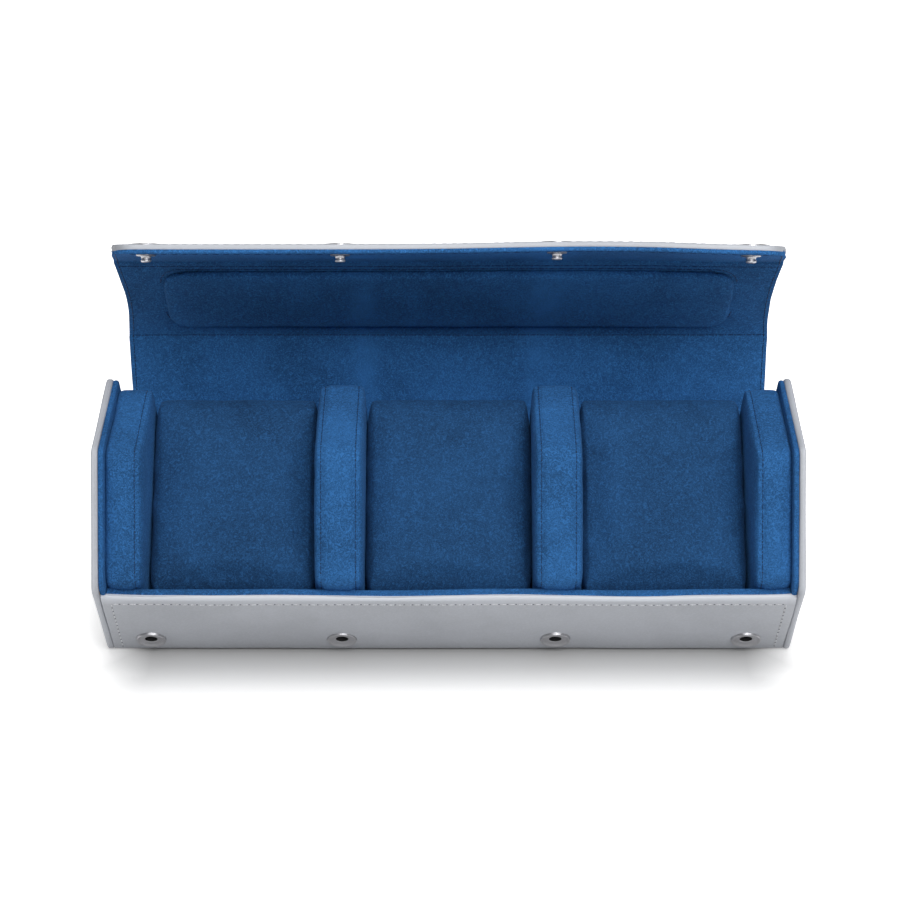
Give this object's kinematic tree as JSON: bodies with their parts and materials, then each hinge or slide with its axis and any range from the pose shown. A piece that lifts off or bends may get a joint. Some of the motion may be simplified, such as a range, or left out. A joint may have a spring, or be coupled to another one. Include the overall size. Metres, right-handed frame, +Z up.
{
  "type": "watch travel case",
  "caption": "Hexagonal roll-shaped watch case with padded slots, lift-out pillows and a folding panel lid that snaps to the front wall.",
  "frame": {"origin": "middle of the flat base that the case rests on", "axes": "+X along the case to the right, -Y to the front, where the snaps are, +Z up"},
  "size_m": [0.231, 0.1353, 0.1294],
  "materials": {
    "leather": "smooth light grey leather with a fine grain",
    "suede": "royal blue suede with a short nap",
    "board": "plain stiffener board",
    "foam": "upholstery foam",
    "snap_metal": "bright nickel plate"
  },
  "bodies": {
    "tray": {"base_board": "board", "front_board": "board", "back_board": "board", "tray_leather": "leather", "tray_lining": "suede", "left_end_leather": "leather", "left_end_board": "board", "left_end_lining": "suede", "left_end_pad": "suede", "left_end_foam": "foam", "right_end_leather": "leather", "right_end_board": "board", "right_end_lining": "suede", "right_end_pad": "suede", "right_end_foam": "foam", "left_divider": "suede", "left_divider_board": "board", "right_divider": "suede", "right_divider_board": "board", "snap_sockets": "snap_metal", "snap_posts": "snap_metal", "tray_fold": "leather"},
    "pillow_left": {"left_pillow": "suede", "left_pillow_foam": "foam"},
    "pillow_middle": {"middle_pillow": "suede", "middle_pillow_foam": "foam"},
    "pillow_right": {"right_pillow": "suede", "right_pillow_foam": "foam"},
    "back_panel": {"back_panel_leather": "leather", "back_panel_board": "board", "back_panel_lining": "suede", "back_fold": "leather"},
    "top_panel": {"top_panel_leather": "leather", "top_panel_board": "board", "top_panel_lining": "suede", "top_fold": "leather"},
    "front_panel": {"front_panel_leather": "leather", "front_panel_board": "board", "front_panel_lining": "suede", "front_fold": "leather", "lid_pad": "suede", "lid_pad_foam": "foam"},
    "flap": {"flap_leather": "leather", "flap_board": "board", "flap_lining": "suede", "flap_caps": "snap_metal", "flap_studs": "snap_metal"}
  },
  "joints": [
    {"name": "lid_hinge", "type": "hinge", "parent": "tray", "child": "back_panel", "pos_m": [0, 0.0448, 0.03984], "axis": [1, 0, 0], "range_deg": [0, 150]},
    {"name": "back_fold_hinge", "type": "hinge", "parent": "back_panel", "child": "top_panel", "pos_m": [0, 0.0836, 0.01173], "axis": [1, 0, 0], "range_deg": [-54, 0]},
    {"name": "top_fold_hinge", "type": "hinge", "parent": "top_panel", "child": "front_panel", "pos_m": [0, 0.08888, 0.06196], "axis": [1, 0, 0], "range_deg": [0, 23]},
    {"name": "flap_hinge", "type": "hinge", "parent": "front_panel", "child": "flap", "pos_m": [0, 0.06287, 0.10525], "axis": [1, 0, 0], "range_deg": [0, 32]},
    {"name": "left_pillow_lift", "type": "slide", "parent": "tray", "child": "pillow_left", "axis": [0, 0.342, -0.9397], "range_m": [-0.06, 0]},
    {"name": "middle_pillow_lift", "type": "slide", "parent": "tray", "child": "pillow_middle", "axis": [0, 0.342, -0.9397], "range_m": [-0.06, 0]},
    {"name": "right_pillow_lift", "type": "slide", "parent": "tray", "child": "pillow_right", "axis": [0, 0.342, -0.9397], "range_m": [-0.06, 0]}
  ],
  "couplings": [
    {"joint": "back_fold_hinge", "follows": "lid_hinge", "ratio": -0.36},
    {"joint": "top_fold_hinge", "follows": "lid_hinge", "ratio": 0.15333}
  ]
}
